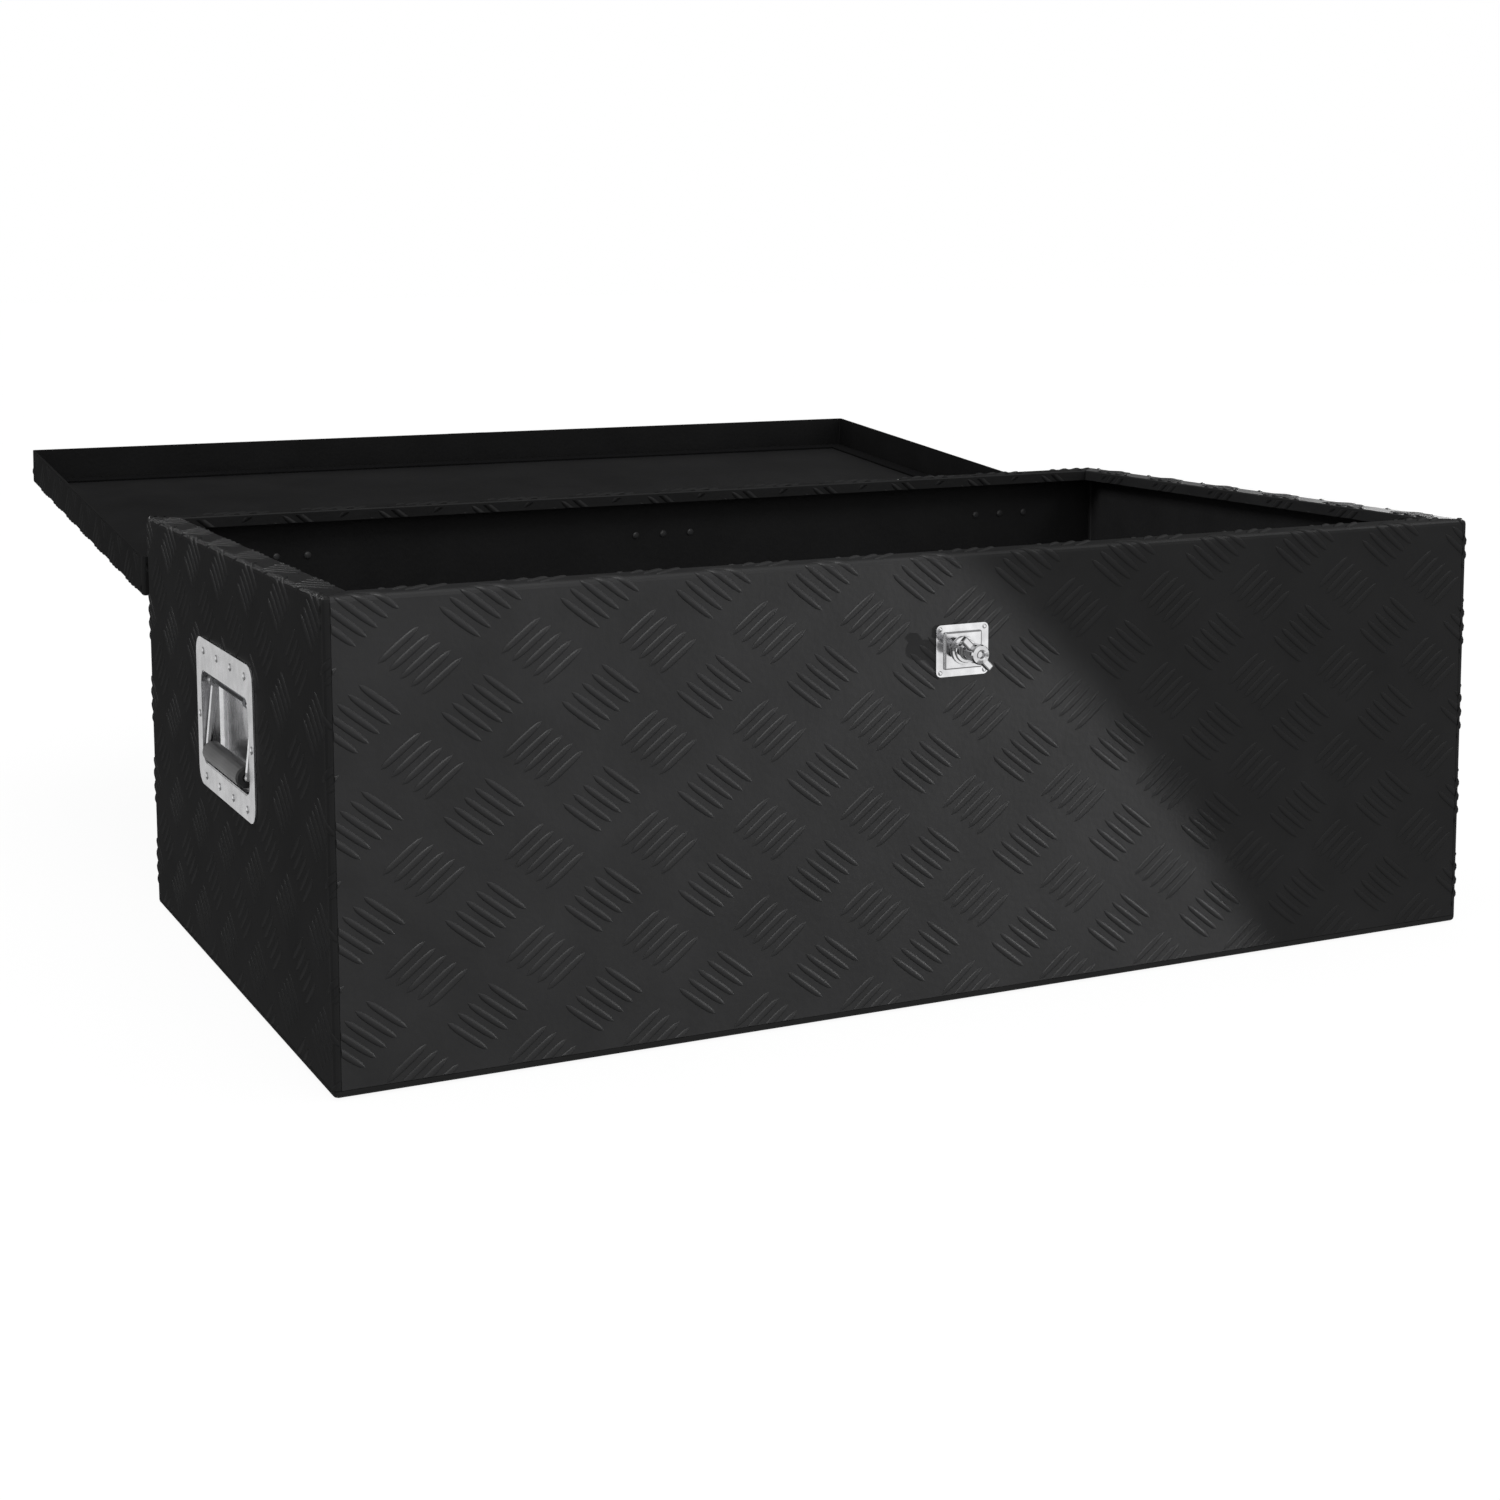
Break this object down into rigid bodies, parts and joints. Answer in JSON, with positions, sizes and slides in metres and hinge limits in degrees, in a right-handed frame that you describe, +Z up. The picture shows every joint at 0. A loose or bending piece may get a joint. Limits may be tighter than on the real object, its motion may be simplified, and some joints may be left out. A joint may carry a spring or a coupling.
{
  "type": "truck tool box",
  "caption": "Chest-type tool box in black tread plate with a fold-back lid, recessed spring handles on both ends and a turning staple with a hasp at the front.",
  "frame": {"origin": "middle of the underside of the box", "axes": "+X to the right along the front, +Y from the front to the hinged rear wall and on to the laid-back lid, +Z up"},
  "size_m": [1.015, 1.1649, 0.3683],
  "materials": {
    "black_powder_coat": "satin black powder coat over five-bar tread plate",
    "plated_steel": "bright plated pressing, slightly soft reflections",
    "chromed_steel": "polished chrome",
    "zinc_hardware": "bright zinc plate",
    "grip_sleeve": "dark grey moulded sleeve",
    "seal_foam": "black closed-cell foam strip"
  },
  "bodies": {
    "box": {"bottom_panel": "black_powder_coat", "front_panel": "black_powder_coat", "handle_dish_left": "plated_steel", "handle_dish_right": "plated_steel", "handle_pin_left": "zinc_hardware", "handle_pin_right": "zinc_hardware", "handle_spring_left": "zinc_hardware", "handle_spring_right": "zinc_hardware", "hinge_box_leaf_left": "black_powder_coat", "hinge_box_leaf_middle": "black_powder_coat", "hinge_box_leaf_right": "black_powder_coat", "hinge_pin_left": "zinc_hardware", "hinge_pin_middle": "zinc_hardware", "hinge_pin_right": "zinc_hardware", "left_end_panel": "black_powder_coat", "lock_collar": "chromed_steel", "lock_plate": "chromed_steel", "lock_washer": "zinc_hardware", "rear_panel": "black_powder_coat", "right_end_panel": "black_powder_coat"},
    "lid": {"hasp_leaf": "plated_steel", "hasp_pin": "zinc_hardware", "hinge_lid_leaf_left": "black_powder_coat", "hinge_lid_leaf_middle": "black_powder_coat", "hinge_lid_leaf_right": "black_powder_coat", "lid_seal": "seal_foam", "lid_skin": "black_powder_coat"},
    "hasp": {"hasp_strap": "plated_steel"},
    "staple": {"lock_staple": "chromed_steel", "lock_nut": "zinc_hardware"},
    "bail_left": {"handle_bail_left": "plated_steel", "handle_grip_left": "grip_sleeve"},
    "bail_right": {"handle_bail_right": "plated_steel", "handle_grip_right": "grip_sleeve"}
  },
  "joints": [
    {"name": "lid_hinge", "type": "hinge", "parent": "box", "child": "lid", "pos_m": [0, 0.2833, 0.3172], "axis": [1, 0, 0], "range_deg": [0, 174.5]},
    {"name": "hasp_hinge", "type": "hinge", "parent": "lid", "child": "hasp", "pos_m": [0, 0.85192, 0.36512], "axis": [1, 0, 0], "range_deg": [0, 185.5]},
    {"name": "staple_turn", "type": "hinge", "parent": "box", "child": "staple", "pos_m": [0, -0.28, 0.2765], "axis": [0, -1, 0], "range_deg": [-45, 45]},
    {"name": "bail_left_hinge", "type": "hinge", "parent": "box", "child": "bail_left", "pos_m": [-0.4935, 0, 0.238], "axis": [0, 1, 0], "range_deg": [0, 90], "stiffness_Nm_per_rad": 0.3, "springref_deg": -28.65},
    {"name": "bail_right_hinge", "type": "hinge", "parent": "box", "child": "bail_right", "pos_m": [0.4935, 0, 0.238], "axis": [0, -1, 0], "range_deg": [0, 90], "stiffness_Nm_per_rad": 0.3, "springref_deg": -28.65}
  ]
}
